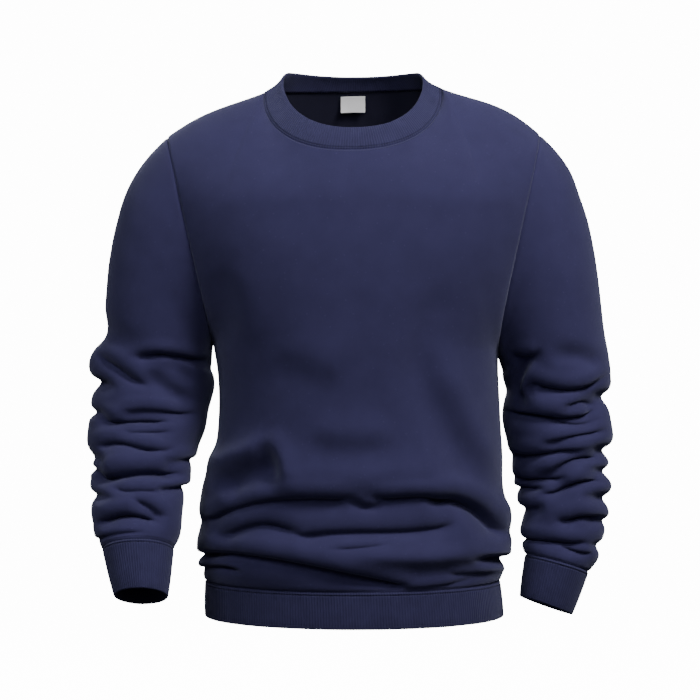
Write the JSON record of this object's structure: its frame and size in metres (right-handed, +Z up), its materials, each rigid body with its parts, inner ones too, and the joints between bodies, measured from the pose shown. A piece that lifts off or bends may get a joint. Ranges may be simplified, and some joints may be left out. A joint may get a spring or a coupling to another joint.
{
  "type": "crew neck sweatshirt",
  "caption": "Long sleeve crew neck sweatshirt in brushed jersey, filled out as worn, with ribbed neckband, cuffs and waistband.",
  "frame": {"origin": "middle of the neck opening, level with the neck ends of the shoulder seams, where the wearer's shoulders hold the garment up", "axes": "+Z up, -Y towards the front of the garment, +X towards the wearer's left sleeve"},
  "size_m": [0.629, 0.2621, 0.6533],
  "materials": {
    "fleece": "navy brushed jersey, matt",
    "rib": "navy 1 x 1 rib, matt",
    "label": "white woven tape, blank"
  },
  "bodies": {
    "root": {"front_panel": "fleece", "back_panel": "fleece", "sleeve_left": "fleece", "sleeve_right": "fleece", "neckband": "rib", "waistband": "rib", "cuff_left": "rib", "cuff_right": "rib", "neck_label": "label"}
  },
  "joints": []
}
